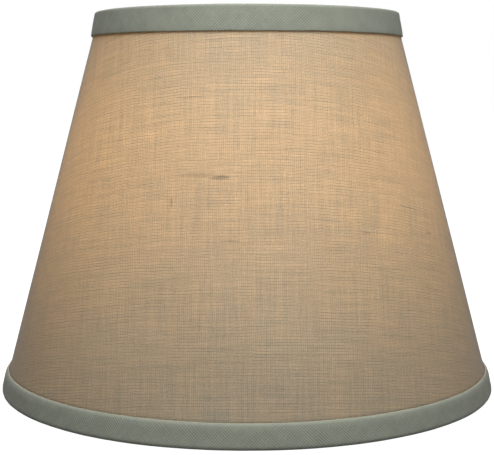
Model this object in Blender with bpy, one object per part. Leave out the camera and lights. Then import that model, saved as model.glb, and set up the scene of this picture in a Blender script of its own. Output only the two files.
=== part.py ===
"""Tapered fabric lamp shade with a recessed washer fitter.

A rolled panel (a fabric cover laminated to a translucent liner) is lapped and glued along one
seam at the back.  A wire ring stiffens each edge, a tape trim is folded over each ring, and three
arms carry a washer below the top ring, which drops over a lamp's harp.

Metres, +Z up, the front is -Y.  The origin is the centre of the bottom rim.
Radii, thicknesses and gaps of the rolled pieces are measured level, across the shade's axis.
"""
import math

import bmesh
import bpy
import numpy as np

# ---------------------------------------------------------------- driving dimensions
HEIGHT = 0.3048                 # from the foot of the bottom trim to the crown of the top trim
BOTTOM_DIAMETER = 0.4010        # across the cover, carried down to the foot
TOP_DIAMETER = 0.2390           # across the cover, carried up to the crown

COVER_THICKNESS = 0.0005
LINER_THICKNESS = 0.0005
GLUE_GAP = 0.0003               # between two pieces that are glued or laid together

SEAM_OVERLAP = 0.0140           # lap of the panel's two ends, measured at the foot
SEAM_RISE = 0.0200              # run over which the outer end climbs onto the inner end, at the foot
SEAM_TAPE_THICKNESS = 0.0003
SEAM_TAPE_MARGIN = 0.0015       # the tape stops this far inside the lap on every side

RING_WIRE = 0.0030              # wire diameter of both rings
ARM_WIRE = 0.0030               # wire diameter of the fitter's arms

TRIM_THICKNESS = 0.0014         # tape folded double
TRIM_CORNER = 0.0015            # rounding of the fold
TOP_TRIM_WIDTH = 0.0192         # height of the tape's outer leg
BOTTOM_TRIM_WIDTH = 0.0184
BOTTOM_TRIM_RETURN = 0.0070     # height of the tape's inner leg
TOP_CROWN_STANDOFF = 0.0026     # how far the outer leg stands off the cover, at each of its edges
TOP_EDGE_STANDOFF = 0.0008
BOTTOM_FOOT_STANDOFF = 0.0006
BOTTOM_EDGE_STANDOFF = 0.0017

ARM_COUNT = 3
ARM_LEAD = 0.0080               # level run of an arm inside the ring, before it bends down
ARM_SLOPE = math.radians(55)    # angle of the arm's sloping run below the level
ARM_BEND = 0.0050               # bend radius at the middle of the wire
WASHER_DIAMETER = 0.0254
WASHER_HOLE = 0.0111            # clears a standard quarter-inch harp stud and finial
WASHER_THICKNESS = 0.0020
WASHER_DROP = 0.0190            # middle of the washer below the crown

# ---------------------------------------------------------------- fineness
SEGMENTS = 88                   # straight facets around the rims, outside the seam
RISE_STEPS = 3
LAP_STEPS = 2
WIRE_SIDES = 8
WASHER_SEGMENTS = 32
BEND_STEPS = 4
CORNER_STEPS = 2

# ---------------------------------------------------------------- sizes that follow
FOOT_RADIUS = BOTTOM_DIAMETER / 2
CROWN_RADIUS = TOP_DIAMETER / 2
TAPER = (FOOT_RADIUS - CROWN_RADIUS) / HEIGHT     # loss of radius per metre of height
LEVEL_FACTOR = math.hypot(1.0, TAPER)             # level distance to a slanted wall, per metre square to it

PANEL_STACK = COVER_THICKNESS + GLUE_GAP + LINER_THICKNESS
SEAM_LIFT = PANEL_STACK + 2 * GLUE_GAP + SEAM_TAPE_THICKNESS
PANEL_LOW = TRIM_THICKNESS + GLUE_GAP
PANEL_HIGH = HEIGHT - PANEL_LOW
RING_RADIUS = RING_WIRE / 2
LOW_RING_Z = PANEL_LOW + RING_RADIUS
HIGH_RING_Z = HEIGHT - LOW_RING_Z
ARM_RADIUS = ARM_WIRE / 2
ARM_TOP_Z = HIGH_RING_Z - RING_RADIUS - GLUE_GAP - ARM_RADIUS
TOP_TRIM_RETURN = HEIGHT - HIGH_RING_Z + RING_RADIUS
WASHER_Z = HEIGHT - WASHER_DROP
BACK = math.pi / 2                                # the seam's direction, +Y
LAP_HALF = SEAM_OVERLAP / 2 / FOOT_RADIUS         # half the lap, as an angle
RISE = SEAM_RISE / FOOT_RADIUS                    # the climb before it, as an angle
TURN = 2 * math.pi


def cone(z):
    """Radius of the cover's outer face at height z."""
    return FOOT_RADIUS - TAPER * z


def smooth(t):
    """Ease from 0 to 1 with level ends."""
    t = np.clip(t, 0.0, 1.0)
    return t * t * (3 - 2 * t)


def panel_angles():
    """Angles from the seam, along the rolled panel: inner end, once round, then over itself."""
    lap = np.linspace(-LAP_HALF, LAP_HALF, LAP_STEPS + 1)
    fall = np.linspace(LAP_HALF, LAP_HALF + RISE, RISE_STEPS + 1)
    round_ = np.linspace(LAP_HALF + RISE, TURN - LAP_HALF - RISE, SEGMENTS + 1)
    rise = TURN - fall[::-1]
    return np.concatenate([lap, fall[1:], round_[1:], rise[1:], TURN + lap[1:]])


def rim_angles():
    """The same stations, once round, for the rings and trims."""
    return panel_angles()[:-LAP_STEPS - 1]


def panel_lift(angle):
    """The panel's outer end climbs by the seam's lift before it reaches the inner end."""
    return SEAM_LIFT * smooth((angle - (TURN - LAP_HALF - RISE)) / RISE)


def trim_lift(angle):
    """The trims pass over the lap and ease down on both sides of it."""
    away = np.abs((angle + math.pi) % TURN - math.pi)
    return SEAM_LIFT * smooth((LAP_HALF + RISE - away) / RISE)


# ---------------------------------------------------------------- mesh helpers
def swept_mesh(name, angles, sections, closed):
    """Carry one (radius, height) section to each angle from the back, and skin them.

    sections has the shape (stations, points, 2).  An open sweep gets a cap at each end.
    Every facet is split from its low corner to the next station's high corner, so that two
    sheets laid together bend along the same lines and keep their gap.
    """
    stations, points = sections.shape[:2]
    radius, height = sections[:, :, 0], sections[:, :, 1]
    turn = BACK + angles[:, None]
    corners = np.stack([radius * np.cos(turn), radius * np.sin(turn), height], axis=2)
    spans = stations if closed else stations - 1
    faces = []
    for i in range(spans):
        j = (i + 1) % stations
        for k in range(points):
            m = (k + 1) % points
            quad = [i * points + k, j * points + k, j * points + m, i * points + m]
            if height[i, k] > height[i, m]:
                quad = quad[1:] + quad[:1]
            faces.append((quad[0], quad[1], quad[2]))
            faces.append((quad[0], quad[2], quad[3]))
    if not closed:
        last = (stations - 1) * points
        faces.append(tuple(range(points)))
        faces.append(tuple(last + k for k in reversed(range(points))))
    mesh = bpy.data.meshes.new(name)
    mesh.from_pydata(corners.reshape(-1, 3).tolist(), [], faces)
    shell = bmesh.new()
    shell.from_mesh(mesh)
    bmesh.ops.recalc_face_normals(shell, faces=shell.faces)
    shell.to_mesh(mesh)
    shell.free()
    mesh.shade_smooth()
    mesh.set_sharp_from_angle(angle=math.radians(40))
    return mesh


def finish(colour, roughness, metallic=0.0, sheen=0.0, transmission=0.0):
    """Values for one Principled material."""
    return {"colour": colour, "roughness": roughness, "metallic": metallic,
            "sheen": sheen, "transmission": transmission}


FINISHES = {
    "linen": finish((0.70, 0.53, 0.35), 0.85, sheen=0.3),
    "styrene": finish((0.86, 0.84, 0.79), 0.45, transmission=0.2),
    "adhesive": finish((0.80, 0.76, 0.66), 0.5),
    "painted_wire": finish((0.82, 0.82, 0.80), 0.4),
    "grey_tape": finish((0.24, 0.30, 0.26), 0.85, sheen=0.3),
}


def material(name):
    """The Principled material of one finish, made once."""
    found = bpy.data.materials.get(name)
    if found:
        return found
    values = FINISHES[name]
    made = bpy.data.materials.new(name)
    made.use_nodes = True
    shader = made.node_tree.nodes["Principled BSDF"]
    shader.inputs["Base Color"].default_value = (*values["colour"], 1.0)
    shader.inputs["Roughness"].default_value = values["roughness"]
    shader.inputs["Metallic"].default_value = values["metallic"]
    shader.inputs["Sheen Weight"].default_value = values["sheen"]
    shader.inputs["Transmission Weight"].default_value = values["transmission"]
    return made


def place(name, data, finish_name, parent, turn=0.0):
    """One named piece of the shade, turned about the shade's axis."""
    piece = bpy.data.objects.new(name, data)
    bpy.context.collection.objects.link(piece)
    if not data.materials:
        data.materials.append(material(finish_name))
    piece.rotation_euler.z = turn
    piece.parent = parent
    return piece


# ---------------------------------------------------------------- the panel
def sheet_sections(angles, lift, outside, thickness, low, high):
    """Rectangular sections of a sheet whose outer face lies `outside` beyond the cover's face."""
    ends = [(0.0, low), (0.0, high), (-thickness, high), (-thickness, low)]
    section = np.array([(cone(z) + outside + inward, z) for inward, z in ends])
    sections = np.repeat(section[None], len(angles), axis=0)
    sections[:, :, 0] += lift[:, None]
    return sections


def build_panel(parent):
    """Cover, liner and the strip of tape that closes their lap."""
    angles = panel_angles()
    lift = panel_lift(angles)
    cover = sheet_sections(angles, lift, 0.0, COVER_THICKNESS, PANEL_LOW, PANEL_HIGH)
    place("fabric_cover", swept_mesh("fabric_cover", angles, cover, False), "linen", parent)

    inside = -(COVER_THICKNESS + GLUE_GAP)
    liner = sheet_sections(angles, lift, inside, LINER_THICKNESS, PANEL_LOW, PANEL_HIGH)
    place("liner_panel", swept_mesh("liner_panel", angles, liner, False), "styrene", parent)

    reach = LAP_HALF - SEAM_TAPE_MARGIN / CROWN_RADIUS
    strip_angles = np.linspace(-reach, reach, LAP_STEPS + 1)
    strip = sheet_sections(strip_angles, np.zeros(LAP_STEPS + 1), GLUE_GAP + SEAM_TAPE_THICKNESS,
                           SEAM_TAPE_THICKNESS, PANEL_LOW + SEAM_TAPE_MARGIN,
                           PANEL_HIGH - SEAM_TAPE_MARGIN)
    place("seam_tape", swept_mesh("seam_tape", strip_angles, strip, False), "adhesive", parent)


# ---------------------------------------------------------------- rings
def ring_centre_radius(z):
    """A ring lies against the liner's inner face, a glue gap clear of it."""
    return cone(z) - PANEL_STACK - (RING_RADIUS + GLUE_GAP) * LEVEL_FACTOR


def build_ring(name, z, parent):
    """A round wire bent into a hoop."""
    around = np.arange(WIRE_SIDES) * TURN / WIRE_SIDES
    section = np.stack([ring_centre_radius(z) + RING_RADIUS * np.cos(around),
                        z + RING_RADIUS * np.sin(around)], axis=1)
    angles = rim_angles()
    sections = np.repeat(section[None], len(angles), axis=0)
    place(name, swept_mesh(name, angles, sections, True), "painted_wire", parent)


# ---------------------------------------------------------------- trims
def corner(centre_r, centre_z, start):
    """A quarter round of the fold, from the angle `start` on."""
    steps = start - np.linspace(0, math.pi / 2, CORNER_STEPS + 1)
    return [(centre_r + TRIM_CORNER * math.cos(a), centre_z + TRIM_CORNER * math.sin(a))
            for a in steps]


def trim_profile(edge_z, fold_z, ring_z, width, return_height, edge_standoff, fold_standoff):
    """The tape's section, as (radius, distance from the fold, 1 on the outer leg or 0).

    It runs down the outer leg's face, round the fold, up the inner leg, and back inside.
    """
    face_edge = cone(edge_z) + edge_standoff + TRIM_THICKNESS
    face_fold = cone(fold_z) + fold_standoff + TRIM_THICKNESS
    inner_face = ring_centre_radius(ring_z) - RING_RADIUS - GLUE_GAP - TRIM_THICKNESS
    outer_face = [(face_edge, width)] + corner(face_fold - TRIM_CORNER, TRIM_CORNER, 0.0)
    inner_leg = corner(inner_face + TRIM_CORNER, TRIM_CORNER, -math.pi / 2)
    inner_leg += [(inner_face, return_height), (inner_face + TRIM_THICKNESS, return_height)]
    inner_leg += [(inner_face + TRIM_THICKNESS, TRIM_THICKNESS)]
    outer_back = [(face_fold - TRIM_THICKNESS, TRIM_THICKNESS), (face_edge - TRIM_THICKNESS, width)]
    legs = [(outer_face, 1.0), (inner_leg, 0.0), (outer_back, 1.0)]
    return np.array([(*point, outer) for outline, outer in legs for point in outline])


def build_trim(name, profile, heights, parent):
    """Turn a trim's section round the rim, letting its outer leg out over the seam."""
    angles = rim_angles()
    section = np.stack([profile[:, 0], heights], axis=1)
    sections = np.repeat(section[None], len(angles), axis=0)
    sections[:, :, 0] += trim_lift(angles)[:, None] * profile[None, :, 2]
    place(name, swept_mesh(name, angles, sections, True), "grey_tape", parent)


def build_trims(parent):
    """The bottom trim folds under the bottom ring, and the top trim over the top ring."""
    low = trim_profile(BOTTOM_TRIM_WIDTH, 0.0, LOW_RING_Z, BOTTOM_TRIM_WIDTH, BOTTOM_TRIM_RETURN,
                       BOTTOM_EDGE_STANDOFF, BOTTOM_FOOT_STANDOFF)
    build_trim("bottom_trim_tape", low, low[:, 1], parent)
    high = trim_profile(HEIGHT - TOP_TRIM_WIDTH, HEIGHT, HIGH_RING_Z, TOP_TRIM_WIDTH,
                        TOP_TRIM_RETURN, TOP_EDGE_STANDOFF, TOP_CROWN_STANDOFF)
    build_trim("top_trim_tape", high, HEIGHT - high[:, 1], parent)


# ---------------------------------------------------------------- fitter
def rounded_path(points, radius):
    """Points (radius, height) of a polyline whose inner corners are arcs of the given radius."""
    path = [points[0]]
    for before, at, after in zip(points, points[1:], points[2:]):
        into = (before - at) / np.linalg.norm(before - at)
        out = (after - at) / np.linalg.norm(after - at)
        half = math.acos(np.clip(into @ out, -1, 1)) / 2
        centre = at + (into + out) / np.linalg.norm(into + out) * radius / math.sin(half)
        start = at + into * radius / math.tan(half) - centre
        stop = at + out * radius / math.tan(half) - centre
        sweep = math.pi - 2 * half
        for step in range(BEND_STEPS + 1):
            t = step / BEND_STEPS
            arc = (math.sin((1 - t) * sweep) * start + math.sin(t * sweep) * stop)
            path.append(centre + arc / math.sin(sweep))
    return path + [points[-1]]


def build_arms(parent):
    """Each arm lies under the top ring, bends down, and runs level to the washer's edge."""
    outer = ring_centre_radius(HIGH_RING_Z)
    bend_high = outer - RING_RADIUS - ARM_LEAD
    bend_low = bend_high - (ARM_TOP_Z - WASHER_Z) / math.tan(ARM_SLOPE)
    inner = WASHER_DIAMETER / 2 + GLUE_GAP
    corners = [(outer, ARM_TOP_Z), (bend_high, ARM_TOP_Z), (bend_low, WASHER_Z), (inner, WASHER_Z)]
    path = rounded_path([np.array(point) for point in corners], ARM_BEND)
    wire = bpy.data.curves.new("spider_arm", "CURVE")
    wire.dimensions = "3D"
    wire.bevel_depth = ARM_RADIUS
    wire.bevel_resolution = WIRE_SIDES // 2 - 2
    wire.use_fill_caps = True
    spline = wire.splines.new("POLY")
    spline.points.add(len(path) - 1)
    for point, (radius, height) in zip(spline.points, path):
        point.co = (radius, 0.0, height, 1.0)
    for number in range(ARM_COUNT):
        turn = BACK + number * TURN / ARM_COUNT
        place(f"spider_arm_{number + 1}", wire, "painted_wire", parent, turn)


def build_washer(parent):
    """A flat washer that seats on the harp's shoulder, under the finial."""
    inner, outer, half = WASHER_HOLE / 2, WASHER_DIAMETER / 2, WASHER_THICKNESS / 2
    ends = [(outer, -half), (outer, half), (inner, half), (inner, -half)]
    section = np.array([(r, WASHER_Z + z) for r, z in ends])
    angles = np.arange(WASHER_SEGMENTS) * TURN / WASHER_SEGMENTS
    sections = np.repeat(section[None], WASHER_SEGMENTS, axis=0)
    mesh = swept_mesh("spider_washer", angles, sections, True)
    place("spider_washer", mesh, "painted_wire", parent)


def main():
    for old in list(bpy.data.objects):
        bpy.data.objects.remove(old, do_unlink=True)
    shade = bpy.data.objects.new("lamp_shade", None)
    bpy.context.collection.objects.link(shade)
    build_panel(shade)
    build_ring("bottom_ring", LOW_RING_Z, shade)
    build_ring("top_ring", HIGH_RING_Z, shade)
    build_trims(shade)
    build_arms(shade)
    build_washer(shade)


main()
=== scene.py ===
# %% [markdown]
# # A lit linen lamp shade
# This lesson dresses a tapered lamp shade. Its working model is already there: a rolled panel, two
# wire rings, folded tapes and a washer fitter. Here each of them gets the surface of the real thing.
# Every new piece is a grid of points worked out with numpy, because a shade is a few profiles carried
# round one axis, and a formula keeps neighbours exactly clear of each other.

# %% Load the working model
import math

import bpy
import numpy as np
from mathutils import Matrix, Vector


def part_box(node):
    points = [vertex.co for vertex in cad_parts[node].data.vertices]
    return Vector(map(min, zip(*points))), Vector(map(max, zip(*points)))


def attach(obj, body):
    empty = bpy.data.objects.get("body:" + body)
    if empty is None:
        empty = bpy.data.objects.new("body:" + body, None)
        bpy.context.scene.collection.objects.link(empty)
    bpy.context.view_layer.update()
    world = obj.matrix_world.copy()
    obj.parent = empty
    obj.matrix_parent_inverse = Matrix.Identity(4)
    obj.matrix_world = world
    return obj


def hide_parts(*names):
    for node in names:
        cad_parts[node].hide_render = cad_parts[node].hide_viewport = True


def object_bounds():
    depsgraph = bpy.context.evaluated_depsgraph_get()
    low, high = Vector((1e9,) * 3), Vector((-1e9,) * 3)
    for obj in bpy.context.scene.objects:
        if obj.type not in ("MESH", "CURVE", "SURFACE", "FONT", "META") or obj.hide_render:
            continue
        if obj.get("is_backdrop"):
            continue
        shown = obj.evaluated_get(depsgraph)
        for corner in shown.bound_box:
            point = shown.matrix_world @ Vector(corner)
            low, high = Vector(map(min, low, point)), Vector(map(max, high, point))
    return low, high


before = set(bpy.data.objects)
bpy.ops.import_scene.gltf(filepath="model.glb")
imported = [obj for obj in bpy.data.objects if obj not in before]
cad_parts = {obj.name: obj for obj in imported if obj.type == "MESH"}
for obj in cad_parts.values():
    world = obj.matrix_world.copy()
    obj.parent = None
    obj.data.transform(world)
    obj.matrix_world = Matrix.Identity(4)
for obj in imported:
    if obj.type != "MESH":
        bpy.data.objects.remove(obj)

CAD_LOW, CAD_HIGH = (np.array(corner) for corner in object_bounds())
print("box of the working model, mm:", np.round((CAD_HIGH - CAD_LOW) * 1000, 1))

# %% [markdown]
# ## Read the sizes off the frame
# The cone is found from its two rings. Both wires touch the same straight wall, so the difference of
# their radii over the difference of their heights is the taper. The cover's box gives one radius of
# its face, and the taper gives all the others.

# %% Sizes of the cone and of the layers
MM = 0.001
TURN = 2 * math.pi


def box(node):
    """Lowest and highest corner of a node, as arrays."""
    low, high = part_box(node)
    return np.array(low), np.array(high)


cover_low, cover_high = box("fabric_cover")
liner_high = box("liner_panel")[1]
low_ring_low, low_ring_high = box("bottom_ring")
high_ring_low, high_ring_high = box("top_ring")
low_trim_low, low_trim_high = box("bottom_trim_tape")
high_trim_low, high_trim_high = box("top_trim_tape")

WIRE = low_ring_high[2] - low_ring_low[2]
LOW_RING_Z = (low_ring_low[2] + low_ring_high[2]) / 2
HIGH_RING_Z = (high_ring_low[2] + high_ring_high[2]) / 2
TAPER = (low_ring_high[0] - high_ring_high[0]) / (HIGH_RING_Z - LOW_RING_Z)
SLANT = math.hypot(1.0, TAPER)
PANEL_LOW, PANEL_HIGH = cover_low[2], cover_high[2]
HEIGHT = CAD_HIGH[2]
FOOT_RADIUS = cover_high[0] + TAPER * PANEL_LOW
LINER_DEPTH = cover_high[0] - liner_high[0]
SHEET = 0.5 * MM                # thickness of the linen, and of the styrene
SEAM_OVERLAP = 14.0 * MM        # how far the panel laps over itself at the back
SEAM_RISE = 20.0 * MM           # how far round the outer end takes to climb
PANEL_STACK = LINER_DEPTH + SHEET
SEAM_LIFT = cover_high[1] - cover_high[0]
LAP_HALF = SEAM_OVERLAP / 2 / FOOT_RADIUS
RISE = SEAM_RISE / FOOT_RADIUS
BACK = math.pi / 2


def cone(z):
    """Radius of the cover's outer face: the foot's radius less the taper times the height."""
    return FOOT_RADIUS - TAPER * z


print(f"taper {TAPER:.4f}, foot radius {FOOT_RADIUS / MM:.2f} mm, crown {cone(HEIGHT) / MM:.2f} mm")
print(f"panel {PANEL_LOW / MM:.1f} to {PANEL_HIGH / MM:.1f} mm, lap lift {SEAM_LIFT / MM:.2f} mm")

# %% [markdown]
# ## Grids into meshes
# A closed section carried along a path makes almost every piece here. The section's points are the
# grid's columns and the stations along the path are its rows, so the faces are one array of index
# sums. If the signed volume comes out negative, the winding is reversed, so faces point outwards.

# %% Mesh helpers


def grid_faces(rows, columns, closed_rows, closed_columns):
    """Quads between neighbours of a grid: each joins (row, column) to the next row and column."""
    row = np.arange(rows if closed_rows else rows - 1)[:, None]
    column = np.arange(columns if closed_columns else columns - 1)[None, :]
    next_row, next_column = (row + 1) % rows, (column + 1) % columns
    quads = np.stack([row * columns + column, next_row * columns + column,
                      next_row * columns + next_column, row * columns + next_column], axis=-1)
    return quads.reshape(-1, 4)


def signed_volume(points, quads):
    """A sixth of the sum of corner triple products of every triangle, two for each quad."""
    a, b, c, d = (points[quads[:, k]] for k in range(4))
    return float(((np.cross(a, b) * c).sum() + (np.cross(a, c) * d).sum()) / 6)


def make_piece(name, points, quads, uv=None, slots=()):
    """Put arrays of points and quads into a mesh object, with one UV pair for each point."""
    if signed_volume(points, quads) < 0:
        quads = quads[:, ::-1]
    mesh = bpy.data.meshes.new(name)
    mesh.vertices.add(len(points))
    mesh.vertices.foreach_set("co", points.astype(np.float32).ravel())
    mesh.loops.add(quads.size)
    mesh.loops.foreach_set("vertex_index", quads.ravel().astype(np.int32))
    mesh.polygons.add(len(quads))
    mesh.polygons.foreach_set("loop_start", np.arange(0, quads.size, 4, dtype=np.int32))
    mesh.update(calc_edges=True)
    if uv is not None:
        layer = mesh.uv_layers.new(name="cloth")
        layer.data.foreach_set("uv", uv[quads.ravel()].astype(np.float32).ravel())
    for material in slots:
        mesh.materials.append(material)
    mesh.shade_smooth()
    mesh.validate()
    piece = bpy.data.objects.new(name, mesh)
    bpy.context.collection.objects.link(piece)
    print(f"{name}: {len(points)} points, {len(quads)} quads, volume "
          f"{abs(signed_volume(points, quads)) * 1e6:.1f} cm3")
    return piece


def around(radius, height, angle):
    """Cylinder to box coordinates, with angles counted from the seam at the back."""
    return np.stack([radius * np.cos(BACK + angle), radius * np.sin(BACK + angle),
                     height * np.ones_like(angle)], axis=-1)


def smooth(t):
    """Ease from 0 to 1 with level ends: three t squared less two t cubed."""
    t = np.clip(t, 0.0, 1.0)
    return t * t * (3 - 2 * t)


def ripple(angle, along, waves, seed):
    """A sum of sines with random phases, periodic round the rim: unevenness of handwork.

    waves lists (count round the rim, phase turn per unit of `along`, height).
    """
    phases = np.random.default_rng(seed).uniform(0, TURN, len(waves))
    return sum(height * np.sin(count * angle + turn * along + phase)
               for (count, turn, height), phase in zip(waves, phases))


# %% [markdown]
# ## Camera and light
# The camera stands a metre away, a little below the crown, and looks slightly down with a long lens.
# A warm lamp hangs on the shade's axis a bit over half way up, where a bulb sits under the washer.
# Outside there is only soft light: a dim even sky, a wide lamp above the front, and a weaker one
# above the back, so that the lap can be seen too.

# %% Camera
CAMERA_DISTANCE = 1.0034
CAMERA_HEIGHT = 0.2447
CAMERA_PITCH = math.radians(6.528)
FOCAL_SHARE = 2.464             # focal length over the picture's width

camera_data = bpy.data.cameras.new("camera")
camera_data.sensor_width = 36.0
camera_data.lens = FOCAL_SHARE * camera_data.sensor_width
camera = bpy.data.objects.new("camera", camera_data)
bpy.context.collection.objects.link(camera)
camera.location = (0.0, -CAMERA_DISTANCE, CAMERA_HEIGHT)
camera.rotation_euler = (math.pi / 2 - CAMERA_PITCH, 0.0, 0.0)
bpy.context.scene.camera = camera

# %% Lights
LAMP_HEIGHT = 0.167
BULB_RADIUS = 0.028
LAMP_POWER = 1.05
LAMP_COLOUR = (1.0, 0.625, 0.285)
SOFT_WHITE = (1.0, 0.995, 0.98)
SKY_STRENGTH = 0.13
KEY_POWER = 9.8
FILL_POWER = 3.5


def add_light(name, kind, location, target, light_colour, energy, **settings):
    """A light at a place, turned towards a target and unseen by the camera."""
    data = bpy.data.lights.new(name, kind)
    data.color = light_colour
    data.energy = energy
    for key, value in settings.items():
        setattr(data, key, value)
    light = bpy.data.objects.new(name, data)
    bpy.context.collection.objects.link(light)
    light.location = location
    away = np.array(target) - np.array(location)
    level = math.hypot(away[0], away[1])
    light.rotation_euler = (math.atan2(level, -away[2]), 0.0,
                            math.atan2(away[1], away[0]) - math.pi / 2)
    light.visible_camera = False
    return light


add_light("lamp", "POINT", (0.0, 0.0, LAMP_HEIGHT), (0.0, 0.0, 0.0), LAMP_COLOUR, LAMP_POWER,
          shadow_soft_size=BULB_RADIUS)
add_light("key", "AREA", (0.07, -0.68, 0.95), (0.0, 0.0, 0.20), SOFT_WHITE, KEY_POWER,
          shape="DISK", size=0.75)
add_light("back_fill", "AREA", (-0.45, 1.15, 0.85), (0.0, 0.0, 0.15), SOFT_WHITE, FILL_POWER,
          shape="DISK", size=1.0)

world = bpy.data.worlds.new("studio")
bpy.context.scene.world = world
world.use_nodes = True
background = world.node_tree.nodes["Background"]
ray = world.node_tree.nodes.new("ShaderNodeLightPath")
seen = world.node_tree.nodes.new("ShaderNodeMapRange")
seen.inputs["To Min"].default_value = SKY_STRENGTH
seen.inputs["To Max"].default_value = 1.0
world.node_tree.links.new(ray.outputs["Is Camera Ray"], seen.inputs["Value"])
world.node_tree.links.new(seen.outputs["Result"], background.inputs["Strength"])
background.inputs["Color"].default_value = (1.0, 1.0, 1.0, 1.0)
bpy.context.scene.view_settings.view_transform = "Standard"
print(f"lamp {LAMP_POWER} W at {LAMP_HEIGHT} m, key {KEY_POWER} W, sky {SKY_STRENGTH}")

# %% [markdown]
# ## Nodes for cloth
# Linen is two sets of yarns that pass over and under each other, and no yarn is even. The pattern is
# built on the cloth's own flat coordinates in metres: a squared sine across each yarn, a sign that
# flips from crossing to crossing, and stretched noise along the yarns for their slubs.

# %% Small builders for node trees


class Tree:
    """A material's nodes, with sockets passed from call to call like values."""

    def __init__(self, name):
        self.material = bpy.data.materials.new(name)
        self.material.use_nodes = True
        self.nodes = self.material.node_tree.nodes
        self.links = self.material.node_tree.links
        self.nodes.clear()

    def feed(self, socket, value):
        """Link a socket's value, or write a plain one."""
        if isinstance(value, bpy.types.NodeSocket):
            self.links.new(value, socket)
        elif socket.type == "VECTOR":
            socket.default_value = value[:3]
        else:
            socket.default_value = value

    def node(self, kind, inputs=None, **settings):
        """One node with its settings and its inputs by name or number."""
        made = self.nodes.new("ShaderNode" + kind)
        for key, value in settings.items():
            setattr(made, key, value)
        for key, value in (inputs or {}).items():
            self.feed(made.inputs[key], value)
        return made

    def math(self, operation, *values, clamp=False):
        """A Math node's result."""
        made = self.node("Math", operation=operation, use_clamp=clamp)
        for socket, value in zip(made.inputs, values):
            self.feed(socket, value)
        return made.outputs[0]

    def plus(self, first, *others):
        """The sum of all the values."""
        for value in others:
            first = self.math("ADD", first, value)
        return first

    def times(self, first, *others):
        """The product of all the values."""
        for value in others:
            first = self.math("MULTIPLY", first, value)
        return first

    def less(self, first, second):
        """The first value less the second."""
        return self.math("SUBTRACT", first, second)

    def remap(self, value, low, high, to_low, to_high):
        """Map a value from one range to another, held at the ends."""
        made = self.node("MapRange", {"Value": value, "From Min": low, "From Max": high,
                                      "To Min": to_low, "To Max": to_high})
        return made.outputs["Result"]

    def spread(self, noise, to_low, to_high):
        """Map the middle of a noise's range, 0.3 to 0.7, to the range asked for."""
        return self.remap(noise, 0.3, 0.7, to_low, to_high)

    def vector(self, x, y, z):
        """Three values as one vector."""
        return self.node("CombineXYZ", {"X": x, "Y": y, "Z": z}).outputs[0]

    def noise(self, vector, scale, detail, roughness):
        """Noise from 0 to 1, near one half on average."""
        return self.node("TexNoise", {"Vector": vector, "Scale": scale, "Detail": detail,
                                      "Roughness": roughness}).outputs[0]

    def blend(self, factor, first, second):
        """Mix two colours."""
        made = self.node("Mix", data_type="RGBA", blend_type="MIX")
        self.feed(made.inputs[0], factor)
        self.feed(made.inputs[6], first)
        self.feed(made.inputs[7], second)
        return made.outputs[2]

    def shade(self, factor, colour):
        """A colour times a value."""
        made = self.node("VectorMath", {0: colour}, operation="SCALE")
        self.feed(made.inputs["Scale"], factor)
        return made.outputs[0]

    def bump(self, height, distance, strength):
        """A normal tilted by the slope of a height."""
        inputs = {"Height": height, "Distance": distance, "Strength": strength}
        return self.node("Bump", inputs).outputs[0]

    def finish(self, surface):
        """Connect the surface and hand back the material."""
        self.node("OutputMaterial", {"Surface": surface})
        return self.material


def colour(red, green, blue):
    """A plain colour with full alpha."""
    return (red, green, blue, 1.0)


# %% The weave
WARP_PITCH = 0.72 * MM
WEFT_PITCH = 1.05 * MM
PATCH_SCALE = 75.0              # patches of even and uneven cloth, per metre
SLUB_SCALE = 95.0               # swellings along a yarn, per metre
YARN_APART = 5.31               # far enough in the noise for each yarn to swell on its own
UNDER = 0.45                    # height of a yarn that passes under, against one that passes over


def yarns(tree, across, along, pitch, patch, seed):
    """Wave and height of one set of yarns: a squared sine across, times the yarn's thickness.

    Every second yarn is thicker, more so in some patches of the cloth than in others, and noise
    stretched along the yarn makes it swell and thin.
    """
    count = tree.math("DIVIDE", across, pitch)
    number = tree.math("FLOOR", count)
    wave = tree.math("SINE", tree.times(count, math.pi))
    round_top = tree.math("POWER", wave, 2.0)
    odd_even = tree.math("COSINE", tree.times(number, math.pi))
    pair = tree.times(odd_even, tree.remap(patch, 0.36, 0.64, 0.02, 0.44))
    place = tree.vector(tree.times(number, YARN_APART), tree.times(along, SLUB_SCALE), seed)
    swell = tree.noise(place, 1.0, 3.0, 0.6)
    thick = tree.plus(pair, tree.remap(swell, 0.25, 0.75, 0.55, 1.25))
    return wave, tree.times(round_top, thick)


def woven(tree, x, y, warp_pitch, weft_pitch):
    """Height, cover and pinholes of a plain weave, x across the warp and y across the weft.

    The yarn on top changes with the sign of the product of the two sets' sines. The cover is the
    mean of the two heights, and a pinhole is where both yarns are thin.
    """
    heights, waves = [], []
    for across, along, pitch, seed in ((x, y, warp_pitch, 3.1), (y, x, weft_pitch, 17.7)):
        patch = tree.noise(tree.vector(x, y, seed), PATCH_SCALE, 2.0, 0.5)
        wave, height = yarns(tree, across, along, pitch, patch, seed)
        waves.append(wave)
        heights.append(height)
    warp, weft = heights
    side = tree.times(*waves, 1.6)
    side = tree.math("MINIMUM", tree.math("MAXIMUM", side, -1.0), 1.0)
    lifted_warp = tree.times(warp, tree.remap(side, -1.0, 1.0, UNDER, 1.0))
    lifted_weft = tree.times(weft, tree.remap(side, -1.0, 1.0, 1.0, UNDER))
    height = tree.math("MAXIMUM", lifted_warp, lifted_weft)
    cover = tree.times(tree.plus(warp, weft), 0.5)
    pinhole = tree.times(tree.math("SUBTRACT", 1.0, warp, clamp=True),
                         tree.math("SUBTRACT", 1.0, weft, clamp=True))
    return height, cover, pinhole


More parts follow.
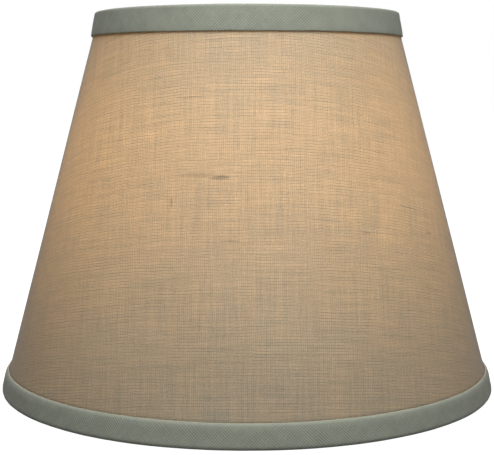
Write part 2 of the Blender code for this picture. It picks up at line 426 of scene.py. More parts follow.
def shell(tree, front, glow, pass_colour, share):
    """Cloth that light comes through.

    A share of the surface is Translucent, which takes light from behind. The lamp's own light is let
    through towards the next layer by a tinted Transparent that only shadow rays see.
    """
    behind = tree.node("BsdfTranslucent", {"Color": glow}).outputs[0]
    polish = tree.node("BsdfGlossy", {"Color": colour(0.8, 0.8, 0.8), "Roughness": 0.7}).outputs[0]
    glance = tree.node("Fresnel", {"IOR": 1.8}).outputs[0]
    behind = tree.node("MixShader", {0: glance, 1: behind, 2: polish}).outputs[0]
    cloth = tree.node("MixShader", {0: share, 1: front, 2: behind}).outputs[0]
    shadow = tree.node("LightPath").outputs["Is Shadow Ray"]
    passing = tree.node("BsdfTransparent", {"Color": pass_colour}).outputs[0]
    return tree.node("MixShader", {0: shadow, 1: cloth, 2: passing}).outputs[0]


# %% [markdown]
# ## Linen
# The cover is a plain weave of flax, warm and matt, with a few thick lumps where the spinner let the
# fibre bunch. From outside it is lit softly, and from behind it glows, darker where the yarn is
# thick. A picture of cloth would repeat and blur, so the yarns are worked out in the material.

# %% Linen material
LINEN_WARM = (0.262, 0.264, 0.222)
LINEN_GREY = (0.238, 0.266, 0.236)
LINEN_GLOW = (0.62, 0.565, 0.475)
LINEN_PASSES = (0.90, 0.86, 0.80)
SLUB_GREY = (0.20, 0.225, 0.22)
DRIFT = 2.2 * MM
DRIFT_SCALE = 38.0              # bends of the yarns, per metre
SLUBS = (                       # across, up, half length and half width on the flat cloth, and depth
    (-0.0190, 0.1891, 0.0088, 0.0024, 0.72),
    (-0.0350, 0.1912, 0.0150, 0.0026, 0.42),
    (-0.0541, 0.1724, 0.0012, 0.0045, 0.60),
    (0.1609, 0.1613, 0.0060, 0.0011, 0.60),
    (0.1330, 0.1770, 0.0160, 0.0006, 0.45),
    (-0.0699, 0.1019, 0.0230, 0.0008, 0.40),
    (0.0900, 0.1530, 0.0050, 0.0009, 0.50),
    (-0.0120, 0.1440, 0.0080, 0.0008, 0.40),
    (-0.0420, 0.2480, 0.0120, 0.0008, 0.40),
)
# Painted shade on the linen next to the trims: where the band under the top trim is darkest, and how far
# each band fades.
TRIM_SHADE_LINE = high_trim_low[2] + 0.3 * MM
TRIM_SHADE_FADE = 2.6 * MM
LOW_TRIM_SHADE_FADE = 2.0 * MM
print("yarn pitch, mm:", WARP_PITCH / MM, "across,", WEFT_PITCH / MM, "up")


def slub_mask(tree, x, y):
    """Lumps in the weft: each is one less the squared distance in its own stretched ellipse."""
    total = 0.0
    for across, up, half_length, half_width, depth in SLUBS:
        far_x = tree.math("DIVIDE", tree.less(x, across), half_length)
        far_y = tree.math("DIVIDE", tree.less(y, up), half_width)
        squares = tree.plus(tree.times(far_x, far_x), tree.times(far_y, far_y))
        lump = tree.times(tree.math("SUBTRACT", 1.0, squares, clamp=True), depth)
        total = tree.math("MAXIMUM", total, lump)
    return total


def drifting_cloth(tree):
    """Flat coordinates moved by a slow noise, because laminated cloth never lies quite straight."""
    flat = tree.node("UVMap", uv_map="cloth").outputs[0]
    drift = tree.node("TexNoise", {"Vector": flat, "Scale": DRIFT_SCALE, "Detail": 2.0}).outputs["Color"]
    drift = tree.node("VectorMath", {0: drift, 1: (0.5, 0.5, 0.5)}, operation="SUBTRACT").outputs[0]
    moved = tree.node("VectorMath", {0: drift, 1: (DRIFT, DRIFT, 0.0), 2: flat},
                      operation="MULTIPLY_ADD").outputs[0]
    parts = tree.node("SeparateXYZ", {0: moved}).outputs
    return parts[0], parts[1]


def long_streaks(tree, x, y):
    """Paler and darker yarns: noise stretched along the weft, plus a weaker one along the warp."""
    weft = tree.noise(tree.vector(tree.times(x, 22.0), tree.times(y, 620.0), 5.0), 1.0, 3.0, 0.55)
    warp = tree.noise(tree.vector(tree.times(x, 700.0), tree.times(y, 15.0), 9.0), 1.0, 3.0, 0.55)
    return tree.plus(tree.spread(weft, -1.0, 1.0), tree.spread(warp, -0.8, 0.8))


def painted_trim_shade_bands(tree):
    """Painted shade on the linen just next to the trims' edges: full under the top trim, weaker just above
    the bottom one.
    """
    level = tree.node("SeparateXYZ", {0: tree.node("TexCoord").outputs["Object"]}).outputs[2]
    return tree.plus(tree.remap(level, TRIM_SHADE_LINE - TRIM_SHADE_FADE, TRIM_SHADE_LINE, 0.0, 1.0),
                     tree.remap(level, low_trim_high[2] + LOW_TRIM_SHADE_FADE, low_trim_high[2], 0.0, 0.35))


def linen_material():
    """Tone from outside and light from behind, each a sum of the weave's and the yarns' shares."""
    tree = Tree("linen_weave")
    x, y = drifting_cloth(tree)
    height, cover, pinhole = woven(tree, x, y, WARP_PITCH, WEFT_PITCH)
    lumps = slub_mask(tree, x, y)
    streaks = long_streaks(tree, x, y)
    cloud = tree.noise(tree.vector(x, y, 2.0), 14.0, 3.0, 0.5)
    grain = tree.noise(tree.vector(x, tree.times(y, 1.8), 3.0), 620.0, 2.0, 0.6)
    under_trim_shade = painted_trim_shade_bands(tree)
    tone = tree.plus(1.0, tree.times(streaks, 0.17), tree.spread(cloud, -0.06, 0.06),
                     tree.remap(height, 0.2, 1.0, -0.25, 0.19), tree.times(lumps, -0.22))
    # The painted shade next to the trims darkens the cloth's tone by up to a half and its glow from behind
    # by up to four fifths.
    tone = tree.times(tone, tree.less(1.0, tree.times(under_trim_shade, 0.50)))
    through = tree.plus(1.0, tree.times(streaks, -0.24), tree.remap(cover, 0.2, 0.8, 0.35, -0.33),
                        tree.remap(pinhole, 0.1, 0.9, -0.12, 0.38), tree.spread(grain, -0.20, 0.20),
                        tree.times(lumps, -0.70))
    through = tree.times(through, tree.less(1.0, tree.times(under_trim_shade, 0.80)))
    dyed = tree.blend(tree.remap(streaks, -1.2, 1.2, 0.0, 1.0), colour(*LINEN_WARM), colour(*LINEN_GREY))
    dyed = tree.blend(tree.times(lumps, 0.7), dyed, colour(*SLUB_GREY))
    normal = tree.bump(tree.plus(height, tree.times(lumps, 1.2)), 0.22 * MM, 0.55)
    front = tree.node("BsdfPrincipled", {
        "Base Color": tree.shade(tone, dyed), "Roughness": 0.88, "Sheen Weight": 0.12,
        "Sheen Roughness": 0.45, "Specular IOR Level": 0.3, "Normal": normal}).outputs[0]
    glow = tree.shade(through, colour(*LINEN_GLOW))
    return tree.finish(shell(tree, front, glow, colour(*LINEN_PASSES), 0.50))


linen = linen_material()

# %% [markdown]
# ## Styrene
# Behind the cloth is a sheet of white styrene, glued to it. It holds the cone's shape and spreads the
# lamp's light. It is smooth and a little satin, with faint handling dents and dust.

# %% Styrene material


def styrene_material():
    """White, satin, faintly clouded, and lit through like the linen."""
    tree = Tree("satin_styrene")
    place = tree.node("TexCoord").outputs["Object"]
    cloud = tree.noise(place, 22.0, 4.0, 0.55)
    speck = tree.noise(place, 900.0, 2.0, 0.6)
    white = tree.shade(tree.spread(cloud, 0.96, 1.03), colour(0.80, 0.775, 0.72))
    rough = tree.spread(cloud, 0.36, 0.50)
    relief = tree.plus(cloud, tree.times(speck, 0.08))
    normal = tree.bump(relief, 0.25 * MM, 0.35)
    front = tree.node("BsdfPrincipled", {
        "Base Color": white, "Roughness": rough, "IOR": 1.5, "Specular IOR Level": 0.4,
        "Normal": normal}).outputs[0]
    return tree.finish(shell(tree, front, white, colour(0.93, 0.91, 0.88), 0.45))


styrene = styrene_material()

# %% [markdown]
# ## Bias tape
# The rims are bound with grey-green tape cut on the bias, so its yarns run at 45 degrees to the rim
# and let it bend round the hoop. The same weave is used with its flat coordinates turned.

# %% Tape material
TAPE = (0.335, 0.358, 0.294)
TAPE_PITCH = 0.80 * MM


def tape_material(name, highlight_at):
    """Plain weave on coordinates turned by 45 degrees: x plus y and x less y, over root two.

    Along the fold at the given distance across the tape, a painted highlight makes the cloth paler where the
    fold faces up to the light.
    """
    tree = Tree(name)
    flat = tree.node("UVMap", uv_map="cloth").outputs[0]
    parts = tree.node("SeparateXYZ", {0: flat}).outputs
    half = math.sqrt(0.5)
    x = tree.times(tree.plus(parts[0], parts[1]), half)
    y = tree.times(tree.less(parts[0], parts[1]), half)
    height = woven(tree, x, y, TAPE_PITCH, TAPE_PITCH)[0]
    cloud = tree.noise(tree.vector(parts[0], parts[1], 4.0), 60.0, 4.0, 0.6)
    fibre = tree.noise(tree.vector(x, y, 6.0), 2600.0, 2.0, 0.6)
    from_fold = tree.math("ABSOLUTE", tree.less(parts[1], highlight_at))
    # Painted highlight: a pale band along the fold that fades out within a few millimetres of it.
    painted_highlight = tree.remap(tree.plus(from_fold, tree.spread(cloud, -0.3 * MM, 0.3 * MM)),
                        0.6 * MM, 2.2 * MM, 0.30, 0.0)
    tone = tree.plus(tree.remap(height, 0.2, 1.0, 0.66, 1.22), tree.spread(cloud, -0.06, 0.06),
                     tree.spread(fibre, -0.04, 0.04), painted_highlight)
    normal = tree.bump(height, 0.20 * MM, 0.6)
    front = tree.node("BsdfPrincipled", {
        "Base Color": tree.shade(tone, colour(*TAPE)), "Roughness": 0.9, "Sheen Weight": 0.15,
        "Sheen Roughness": 0.5, "Specular IOR Level": 0.25, "Normal": normal}).outputs[0]
    return tree.finish(front)


# Where each trim's painted highlight runs across the tape: the bottom trim's upper edge and the top trim's
# crown. The two tape materials differ only in this.
LOW_HIGHLIGHT = 7.0 * MM
HIGH_HIGHLIGHT = 25.5 * MM
low_tape = tape_material("bias_tape_low", LOW_HIGHLIGHT)
high_tape = tape_material("bias_tape_high", HIGH_HIGHLIGHT)

# %% [markdown]
# ## Painted wire and glue tape
# The wires and the washer are steel under white powder coat, which has a fine orange-peel skin and
# gathers a little dust. The lap of the panel is closed with a strip of double-sided tape.

# %% Wire and adhesive materials
PAINT_WHITE = (0.74, 0.73, 0.69)
DUST_GREY = (0.55, 0.52, 0.46)
GLUE_CREAM = (0.62, 0.56, 0.44)
GLUE_AIR = (0.74, 0.70, 0.60)


def painted_wire_material():
    """Off-white coat with small bumps, and thin grey wear where the noise is high."""
    tree = Tree("powder_coat")
    place = tree.node("TexCoord").outputs["Object"]
    peel = tree.noise(place, 1400.0, 2.0, 0.5)
    dust = tree.noise(place, 70.0, 4.0, 0.6)
    paint = tree.blend(tree.remap(dust, 0.55, 0.75, 0.0, 0.35), colour(*PAINT_WHITE), colour(*DUST_GREY))
    front = tree.node("BsdfPrincipled", {
        "Base Color": paint, "Roughness": tree.spread(dust, 0.30, 0.46),
        "Normal": tree.bump(peel, 0.06 * MM, 0.5)}).outputs[0]
    return tree.finish(front)


def adhesive_material():
    """Cream, slightly glossy, with trapped air as pale flecks."""
    tree = Tree("lap_adhesive")
    place = tree.node("TexCoord").outputs["Object"]
    air = tree.noise(place, 420.0, 3.0, 0.6)
    cream = tree.blend(tree.remap(air, 0.5, 0.65, 0.0, 1.0), colour(*GLUE_CREAM), colour(*GLUE_AIR))
    front = tree.node("BsdfPrincipled", {
        "Base Color": cream, "Roughness": tree.spread(air, 0.35, 0.6),
        "Normal": tree.bump(air, 0.05 * MM, 0.5)}).outputs[0]
    return tree.finish(shell(tree, front, cream, colour(0.95, 0.94, 0.91), 0.5))


painted_wire = painted_wire_material()
adhesive = adhesive_material()
for node, finish in (("bottom_ring", painted_wire), ("top_ring", painted_wire), ("seam_tape", adhesive)):
    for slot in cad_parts[node].material_slots:
        slot.material = finish
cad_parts["seam_tape"].visible_shadow = False      # clear enough to pass the lamp's light
print("materials:", len(bpy.data.materials))

# %% [markdown]
# ## The rolled panel
# A hardback shade is one flat piece of styrene with linen glued to it. It is cut as part of a ring,
# rolled into a cone and closed with a lap at the back. The roll runs once round and then climbs over
# its own beginning, so the lap is real: two layers of cloth, with the cloth turned over the outer end.

# %% Stations round the panel and its unevenness
EDGE_SOFTNESS = 0.2 * MM
END_ROUNDING = 0.5 * MM / FOOT_RADIUS
WRAP = 0.9 * MM / FOOT_RADIUS
PANEL_END = TURN + LAP_HALF
LINER_END = PANEL_END - WRAP * 1.1      # stops short of the cloth that is turned over the end
LAP_STATIONS = 44               # over the inner end, and again over the climb
ROUND_STATIONS = 420            # round the rest of the cone
WRAP_STATIONS = 9               # at the turned end
FACE_STEPS = 60                 # up each face


def panel_stations(end):
    """Angles from the panel's inner end to the given end, close together in the lap and its climb."""
    climb = TURN - LAP_HALF - RISE
    parts = [np.linspace(-LAP_HALF, LAP_HALF + RISE, LAP_STATIONS),
             np.linspace(LAP_HALF + RISE, climb, ROUND_STATIONS),
             np.linspace(climb, end - WRAP, LAP_STATIONS), np.linspace(end - WRAP, end, WRAP_STATIONS)]
    return np.concatenate([parts[0]] + [part[1:] for part in parts[1:]])


def panel_lift(angle):
    """The outer end climbs by the lap's lift, with an ease, before it reaches the inner end."""
    return SEAM_LIFT * smooth((angle - (TURN - LAP_HALF - RISE)) / RISE)


PANEL_WAVES = ((3, 9.0, 0.10 * MM), (5, -14.0, 0.08 * MM), (8, 21.0, 0.05 * MM), (13, -33.0, 0.03 * MM))


def unevenness(angle, z):
    """Hand-rolled board: slow waves that die out at both rims, where the rings hold it true."""
    held = np.sin(math.pi * (z - PANEL_LOW) / (PANEL_HIGH - PANEL_LOW))
    return held * ripple(angle, z, PANEL_WAVES, seed=4)


def panel_heights(steps):
    """Heights up a face, with a close pair at each edge so that its corner shades as a soft fold."""
    inner = np.linspace(PANEL_LOW + EDGE_SOFTNESS, PANEL_HIGH - EDGE_SOFTNESS, steps)
    return np.concatenate([[PANEL_LOW], inner, [PANEL_HIGH]])


def cap_quads(start, count):
    """Close a section of paired points: point k faces point count less 1 less k."""
    k = np.arange(count // 2 - 1)
    return np.stack([start + k, start + k + 1, start + count - 2 - k, start + count - 1 - k], axis=1)


def flat_pattern(angle, z):
    """The cone unrolled from its apex, with the front's middle upright.

    The slant distance is the radius over the sine of the half angle, and the flat angle is the
    angle from the front times that sine.
    """
    sine = TAPER / SLANT
    slant = cone(z) / sine
    turn = (angle - math.pi) * sine
    return np.stack([slant * np.sin(turn), FOOT_RADIUS / sine - slant * np.cos(turn)], axis=-1)


def panel_sheet(name, material, outside, end, wraps):
    """One layer of the panel: radius = cone + lift + unevenness, less its depth on the inner side."""
    angle = panel_stations(end)[:, None]
    z = panel_heights(FACE_STEPS)
    section_z = np.concatenate([z, z[::-1]])[None, :]
    inner_side = np.concatenate([np.zeros(len(z)), np.ones(len(z))])[None, :]
    to_end = (angle - (end - END_ROUNDING)) / END_ROUNDING
    rounding = SHEET * (1 - np.sqrt(1 - np.clip(to_end, 0, 0.98) ** 2))
    turned = smooth((angle - (end - WRAP * 0.75)) / (WRAP * 0.25)) if wraps else 0.0
    depth = SHEET + (PANEL_STACK - SHEET) * turned
    radius = (cone(section_z) - outside + panel_lift(angle) + unevenness(angle, section_z)
              - inner_side * depth - (1 - inner_side) * rounding)
    points = around(radius, section_z, angle + 0 * section_z)
    uv = flat_pattern(angle + 0 * section_z, section_z + 0 * angle).reshape(-1, 2)
    rows, columns = radius.shape
    quads = np.concatenate([grid_faces(rows, columns, False, True), cap_quads(0, columns)[:, ::-1],
                            cap_quads((rows - 1) * columns, columns)])
    piece = make_piece(name, points.reshape(-1, 3), quads, uv, (material,))
    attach(piece, "root")
    return piece


# %% Linen cover and styrene liner
linen_cover = panel_sheet("linen_cover", linen, outside=0.0, end=PANEL_END, wraps=True)
liner = panel_sheet("styrene_liner", styrene, outside=LINER_DEPTH, end=LINER_END, wraps=False)
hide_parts("fabric_cover")
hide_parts("liner_panel")


# %% [markdown]
# ## The bound rims
# Each rim is bound with one folded tape. Its edge is turned under, its outer leg lies on the linen,
# it goes over the wire, and its inner leg ends in another turned edge. A path in section gives the
# cloth's middle, two offsets give its faces, and the pull of the bias gives it slanting wrinkles.

# %% Section of a tape
TAPE_CLOTH = 0.45 * MM
HEM_LENGTH = 6.0 * MM
HEM_RADIUS = 0.45 * MM
EDGE_ROLL = 5.0 * MM
INNER_FOLD_RADIUS = 1.2 * MM
RING_CLEARANCE = 1.9 * MM       # from the wire to the far face of the inner leg
INNER_HEM_STOP = 2.2 * MM       # where the inner leg's hem stops, from the fold
RING_RADIUS = WIRE / 2


def rounded(corners, radii, arc_steps=6, spacing=1.4 * MM):
    """A polyline whose corners are arcs, resampled along the straights.

    An arc starts and stops at radius over the tangent of half the corner's angle from the corner,
    and its points come from the two radii mixed by sines.
    """
    corners = np.array(corners)
    pieces, last = [], corners[0]
    for before, at, after, radius in zip(corners, corners[1:], corners[2:], radii):
        into = (before - at) / np.linalg.norm(before - at)
        out = (after - at) / np.linalg.norm(after - at)
        half = math.acos(np.clip(into @ out, -1, 1)) / 2
        centre = at + (into + out) / np.linalg.norm(into + out) * radius / math.sin(half)
        start = at + into * radius / math.tan(half) - centre
        stop = at + out * radius / math.tan(half) - centre
        sweep = math.pi - 2 * half
        t = np.linspace(0, 1, arc_steps + 1)[:, None]
        arc = centre + (np.sin((1 - t) * sweep) * start + np.sin(t * sweep) * stop) / math.sin(sweep)
        count = max(2, int(np.linalg.norm(arc[0] - last) / spacing) + 1)
        pieces += [np.linspace(last, arc[0], count, endpoint=False), arc[:-1]]
        last = arc[-1]
    count = max(2, int(np.linalg.norm(corners[-1] - last) / spacing) + 1)
    pieces.append(np.linspace(last, corners[-1], count))
    return np.concatenate(pieces)


def path_lengths(path):
    """Distance along a path at each of its points."""
    steps = np.linalg.norm(np.diff(path, axis=0), axis=1)
    return np.concatenate([[0.0], np.cumsum(steps)])


def left_normals(path):
    """Unit vectors a quarter turn to the left of a path's direction."""
    ahead = np.gradient(path, axis=0)
    ahead /= np.linalg.norm(ahead, axis=1)[:, None]
    return np.stack([-ahead[:, 1], ahead[:, 0]], axis=1)


def tape_path(edge_face, fold_face, ring_centre, width, return_length, fold_radius, roll):
    """Middle of the tape's cloth, in radius and distance from the fold.

    From the hem under the outer edge, over the edge, along the outer leg, round the fold, and up
    the inner leg to its own turned edge. The edge rolls towards the linen by the square of the way
    into its last few millimetres.
    """
    middle = TAPE_CLOTH / 2
    edge, fold = edge_face - middle, fold_face - middle
    slope = (edge - fold) / width
    inner = ring_centre - RING_RADIUS - RING_CLEARANCE + middle
    turn = 2 * HEM_RADIUS
    corners = [(edge - turn - slope * HEM_LENGTH, width - HEM_LENGTH), (edge - turn, width - middle),
               (edge, width - middle), (fold, middle), (inner, middle), (inner, return_length - middle),
               (inner + turn, return_length - middle), (inner + turn, INNER_HEM_STOP)]
    hem = HEM_RADIUS * 0.96         # a little under half the hem's width, so its two arcs don't meet
    radii = [hem, hem, fold_radius, INNER_FOLD_RADIUS, hem, hem]
    path = rounded(corners, radii)
    into_edge = np.clip((path[:, 1] - width + EDGE_ROLL) / EDGE_ROLL, 0, 1)
    path[:, 0] -= roll * into_edge ** 2
    return path


print("tape cloth", TAPE_CLOTH / MM, "mm, hem", HEM_LENGTH / MM, "mm")

# %% Sweep a tape round its rim
JOIN_START = 0.30
JOIN_LENGTH = 13.0 * MM
JOIN_EASE = 11.0 * MM
JOIN_SINK = 0.45 * MM           # how far the tape's start sinks
FOLD_RISE = 0.10 * MM           # how far its end rises on the fold
LEG_RISE = 0.68 * MM            # how much further it rises on the legs
INNER_WRINKLE = 0.35            # share of the wrinkles that the inner leg keeps
START_STATIONS, RIM_STATIONS, END_STATIONS = 26, 680, 30
TAPE_WAVES = ((9, 60.0, 0.10 * MM), (23, 150.0, 0.07 * MM), (61, 320.0, 0.035 * MM), (74, -350.0, 0.03 * MM),
              (97, 460.0, 0.025 * MM), (131, 640.0, 0.015 * MM))
EDGE_WAVES = ((4, 0.0, 0.12 * MM), (11, 0.0, 0.10 * MM), (27, 0.0, 0.06 * MM), (52, 0.0, 0.04 * MM))


def seam_lift(angle):
    """The tape passes over the panel's lap and eases down on both sides of it."""
    away = np.abs((angle + math.pi) % TURN - math.pi)
    return SEAM_LIFT * smooth((LAP_HALF + RISE - away) / RISE)


def rim_stations(lap, ease):
    """Angles from the tape's start to its end, close together where the join eases in and out."""
    return np.concatenate([np.linspace(0, lap + ease, START_STATIONS),
                           np.linspace(lap + ease, TURN - ease, RIM_STATIONS)[1:],
                           np.linspace(TURN - ease, TURN + lap, END_STATIONS)[1:]])


def bind_rim(name, material, path, fold_z, upward, radius, seed, replaced):
    """Carry the tape's section round the rim, and a little further over its own start.

    The start sinks by one layer and the end rises by the thickness of a hem, so the join lies flat
    on the fold and thick on the legs.
    """
    length = path_lengths(path)
    normal = left_normals(path)
    outer_leg = smooth((path[:, 0] - (ring_radius(fold_z) + RING_RADIUS)) / (1.0 * MM))
    on_fold = 1 - smooth((path[:, 1] - 0.3 * MM) / (2.0 * MM))
    hemward = smooth((path[:, 1] - 5 * MM) / (10 * MM)) * outer_leg
    lap, ease = JOIN_LENGTH / radius, JOIN_EASE / radius
    angle = rim_stations(lap, ease)[:, None]
    place = angle + JOIN_START
    calm = smooth(angle / ease) * smooth((TURN + lap - angle) / ease)
    wrinkle = ripple(place, length[None, :], TAPE_WAVES, seed) * calm
    wrinkle = wrinkle * (INNER_WRINKLE + (1 - INNER_WRINKLE) * outer_leg)
    sink = -JOIN_SINK * (1 - smooth((angle - lap) / ease))
    rise = smooth((angle - (TURN - ease)) / ease) * (FOLD_RISE + LEG_RISE * (1 - on_fold))
    away = wrinkle * (1 - 0.7 * on_fold) + sink + rise
    edge = ripple(place, 0.0, EDGE_WAVES, seed + 1) * hemward * calm
    middle_r = path[None, :, 0] + seam_lift(place) * outer_leg + away * normal[None, :, 0]
    middle_h = path[None, :, 1] + away * normal[None, :, 1] + edge
    half = TAPE_CLOTH / 2
    r = np.concatenate([middle_r + half * normal[:, 0], (middle_r - half * normal[:, 0])[:, ::-1]], axis=1)
    h = np.concatenate([middle_h + half * normal[:, 1], (middle_h - half * normal[:, 1])[:, ::-1]], axis=1)
    points = around(r, fold_z + upward * h, place + 0 * r)
    along = np.concatenate([length, length[::-1]])[None, :]
    uv = np.stack([place * radius + 0 * r, along + 0 * r], axis=-1)
    rows, columns = r.shape
    quads = np.concatenate([grid_faces(rows, columns, False, True), cap_quads(0, columns)[:, ::-1],
                            cap_quads((rows - 1) * columns, columns)])
    piece = make_piece(name, points.reshape(-1, 3), quads, uv.reshape(-1, 2), (material,))
    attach(piece, "root")
    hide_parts(replaced)


def ring_radius(fold_z):
    """Radius of the nearer wire's centre line."""
    high = low_ring_high if fold_z < HEIGHT / 2 else high_ring_high
    return high[0] - RING_RADIUS


TAPE_MIDDLE = 10.0 * MM         # height on the rim at which the tape's length is taken
low_width = low_trim_high[2] - low_trim_low[2]
high_width = high_trim_high[2] - high_trim_low[2]
low_path = tape_path(edge_face=cone(low_width) + 3.0 * MM, fold_face=low_trim_high[0],
                     ring_centre=ring_radius(0.0), width=low_width, return_length=7.0 * MM,
                     fold_radius=2.7 * MM, roll=1.5 * MM)
high_path = tape_path(edge_face=cone(HEIGHT - high_width) + 1.7 * MM, fold_face=cone(HEIGHT) + 3.3 * MM,
                      ring_centre=ring_radius(HEIGHT), width=high_width, return_length=4.7 * MM,
                      fold_radius=1.3 * MM, roll=0.3 * MM)
bind_rim("bottom_trim", low_tape, low_path, fold_z=0.0, upward=1, radius=cone(TAPE_MIDDLE), seed=11,
         replaced="bottom_trim_tape")
bind_rim("top_trim", high_tape, high_path, fold_z=HEIGHT, upward=-1, radius=cone(HEIGHT - TAPE_MIDDLE),
         seed=23, replaced="top_trim_tape")

# %% [markdown]
# ## The fitter
# A spider of three wires holds a washer just under the rim. Each wire starts under the top ring,
# slopes down and runs level to the washer, and small welds join them. A circle carried along the
# wire's path makes it, with a short domed end, and the welds are the same shape, short and fat.

# %% Round bar along a path


def bar(path, radii, sides=20):
    """Rings of points about a path in one upright plane: a cosine up the plane, a sine across it.

    path is (radius, height), so the bar first lies in the plane of angle nought.
    """
    normal = left_normals(path)
    turn = np.arange(sides) * TURN / sides + TURN / (2 * sides)
    lift = radii[:, None] * np.cos(turn)[None, :]
    r = path[:, :1] + lift * normal[:, :1]
    z = path[:, 1:] + lift * normal[:, 1:]
    across = radii[:, None] * np.sin(turn)[None, :]
    points = np.stack([r, across, z], axis=-1)
    quads = np.concatenate([grid_faces(len(path), sides, False, True), cap_quads(0, sides)[:, ::-1],
                            cap_quads((len(path) - 1) * sides, sides)])
    return points.reshape(-1, 3), quads


def domed(length, radius, dome):
    """Radius along a bar: a quarter ellipse at each end and the full radius between."""
    into = np.minimum(length, length[-1] - length) / dome
    return radius * np.sqrt(np.clip(1 - (1 - np.clip(into, 0.015, 1)) ** 2, 0.02, 1))


def turned_about(points, angle):
    """Turn points about the shade's axis: radius along the angle, width across it."""
    c, s = math.cos(angle), math.sin(angle)
    return np.stack([points[:, 0] * c - points[:, 1] * s, points[:, 0] * s + points[:, 1] * c,
                     points[:, 2]], axis=1)


# %% Spider wires
ARM_WIRE = 3.0 * MM
ARM_LEAD = 8.0 * MM
ARM_SLOPE = math.radians(55)
ARM_BEND = 5.0 * MM
ARM_PAST_RING = 0.4 * MM        # past the ring's centre line
ARM_TO_WASHER = 0.2 * MM        # short of the washer's edge, where the weld fills in
ARM_DOME = 0.8 * MM
washer_low, washer_high = box("spider_washer")
arm_high = box("spider_arm_1")[1]
WASHER_RADIUS = washer_high[0]
WASHER_Z = (washer_low[2] + washer_high[2]) / 2
ARM_TOP_Z = arm_high[2] - ARM_WIRE / 2
ARM_OUT = ring_radius(HEIGHT)
bend_high = ARM_OUT - RING_RADIUS - ARM_LEAD
bend_low = bend_high - (ARM_TOP_Z - WASHER_Z) / math.tan(ARM_SLOPE)
arm_corners = [(ARM_OUT + ARM_PAST_RING, ARM_TOP_Z), (bend_high, ARM_TOP_Z), (bend_low, WASHER_Z),
               (WASHER_RADIUS + ARM_TO_WASHER, WASHER_Z)]
arm_path = rounded(arm_corners, [ARM_BEND, ARM_BEND], arc_steps=12, spacing=2.0 * MM)
dense = np.linspace(0, path_lengths(arm_path)[-1], 110)
ends = np.array([0.02, 0.1, 0.25, 0.45, 0.7]) * MM
dense = np.sort(np.concatenate([dense, ends, dense[-1] - ends]))
arm_path = np.stack([np.interp(dense, path_lengths(arm_path), arm_path[:, k]) for k in (0, 1)], axis=1)
arm_points, arm_quads = bar(arm_path, domed(dense, ARM_WIRE / 2, ARM_DOME))
for number in range(3):
    arm = make_piece(f"spider_wire_{number + 1}", turned_about(arm_points, BACK + number * TURN / 3),
                     arm_quads, slots=(painted_wire,))
    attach(arm, "root")
    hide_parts(f"spider_arm_{number + 1}")

# %% Washer
WASHER_HOLE = 11.1 * MM
WASHER_STATIONS = 144


def washer_piece():
    """A ring with softened edges: a rounded rectangle of section carried round the axis."""
    hole = WASHER_HOLE / 2
    soft = 0.35 * MM
    low, high = washer_low[2], washer_high[2]
    corners = [((hole + WASHER_RADIUS) / 2, low), (hole, low), (hole, high), (WASHER_RADIUS, high),
               (WASHER_RADIUS, low), ((hole + WASHER_RADIUS) / 2 + 0.1 * MM, low)]
    section = rounded(corners, [soft] * 4, arc_steps=5, spacing=1.2 * MM)
    angle = np.arange(WASHER_STATIONS)[:, None] * TURN / WASHER_STATIONS
    dish = -0.12 * MM * np.sin(math.pi * (section[:, 0] - hole) / (WASHER_RADIUS - hole))
    points = around(section[None, :, 0] + 0 * angle, (section[:, 1] + dish)[None, :] + 0 * angle,
                    angle + 0 * section[None, :, 0])
    rows, columns = points.shape[:2]
    return make_piece("washer", points.reshape(-1, 3), grid_faces(rows, columns, True, True),
                      slots=(painted_wire,))


washer = washer_piece()
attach(washer, "root")
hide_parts("spider_washer")

# %% Welds
WELD_RADIUS = 1.25 * MM
RING_WELD = 4.4 * MM
WASHER_WELD = 4.0 * MM


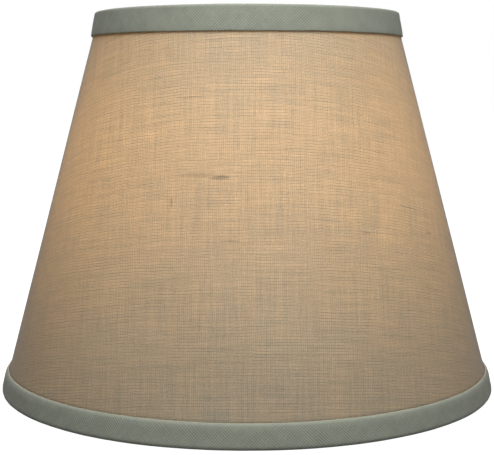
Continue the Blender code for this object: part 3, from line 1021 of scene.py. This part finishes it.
def weld_beads():
    """A bead where each wire meets the ring, and one where it meets the washer."""
    all_points, all_quads, count = [], [], 0
    spots = ((ARM_OUT - 0.2 * MM, (ARM_TOP_Z + HIGH_RING_Z) / 2, RING_WELD),
             (WASHER_RADIUS, WASHER_Z + 0.9 * MM, WASHER_WELD))
    for radius, z, length in spots:
        run = np.linspace(0, length, 15)
        path = np.stack([radius + length / 2 - run, z + 0 * run], axis=1)
        points, quads = bar(path, domed(run, WELD_RADIUS, length / 2), sides=14)
        for number in range(3):
            all_points.append(turned_about(points, BACK + number * TURN / 3))
            all_quads.append(quads + count)
            count += len(points)
    return make_piece("weld_beads", np.concatenate(all_points), np.concatenate(all_quads),
                      slots=(painted_wire,))


welds = weld_beads()
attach(welds, "root")

# %% [markdown]
# ## Floor
# The shade stands on a plain pale sweep. A little light of its own, seen only by the camera, keeps
# the floor as bright as the sky behind it, so there is no horizon.

# %% Floor material and plane
FLOOR_SIZE = 24.0
FLOOR_LINES = 9                 # grid lines each way
FLOOR_DROP = 0.2 * MM           # under the rim, so the two never share a plane
FLOOR_BOUNCE = 0.30             # light that the floor hands back to the shade
FLOOR_GLOW = 0.99               # how bright it looks to the camera


def floor_material():
    """Matt white, with a slow faint mottle."""
    tree = Tree("pale_floor")
    place = tree.node("TexCoord").outputs["Object"]
    mottle = tree.spread(tree.noise(place, 3.0, 2.0, 0.5), 0.985, 1.0)
    white = tree.shade(mottle, colour(FLOOR_BOUNCE, FLOOR_BOUNCE, FLOOR_BOUNCE))
    matt = tree.node("BsdfDiffuse", {"Color": white}).outputs[0]
    seen = tree.node("LightPath").outputs["Is Camera Ray"]
    strength = tree.times(seen, FLOOR_GLOW)
    lift = tree.node("Emission", {"Color": colour(1, 1, 1), "Strength": strength}).outputs[0]
    return tree.finish(tree.node("AddShader", {0: matt, 1: lift}).outputs[0])


steps = np.linspace(-FLOOR_SIZE / 2, FLOOR_SIZE / 2, FLOOR_LINES)
grid_x, grid_y = np.meshgrid(steps, steps)
floor_points = np.stack([grid_x, grid_y, 0 * grid_x - FLOOR_DROP], axis=-1).reshape(-1, 3)
floor_mesh = bpy.data.meshes.new("floor")
floor_quads = grid_faces(FLOOR_LINES, FLOOR_LINES, False, False)[:, ::-1]
floor_mesh.from_pydata(floor_points.tolist(), [], floor_quads.tolist())
floor_mesh.materials.append(floor_material())
floor = bpy.data.objects.new("floor", floor_mesh)
bpy.context.collection.objects.link(floor)
floor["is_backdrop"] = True
print("floor facing", "up" if floor_mesh.polygons[0].normal.z > 0 else "down")
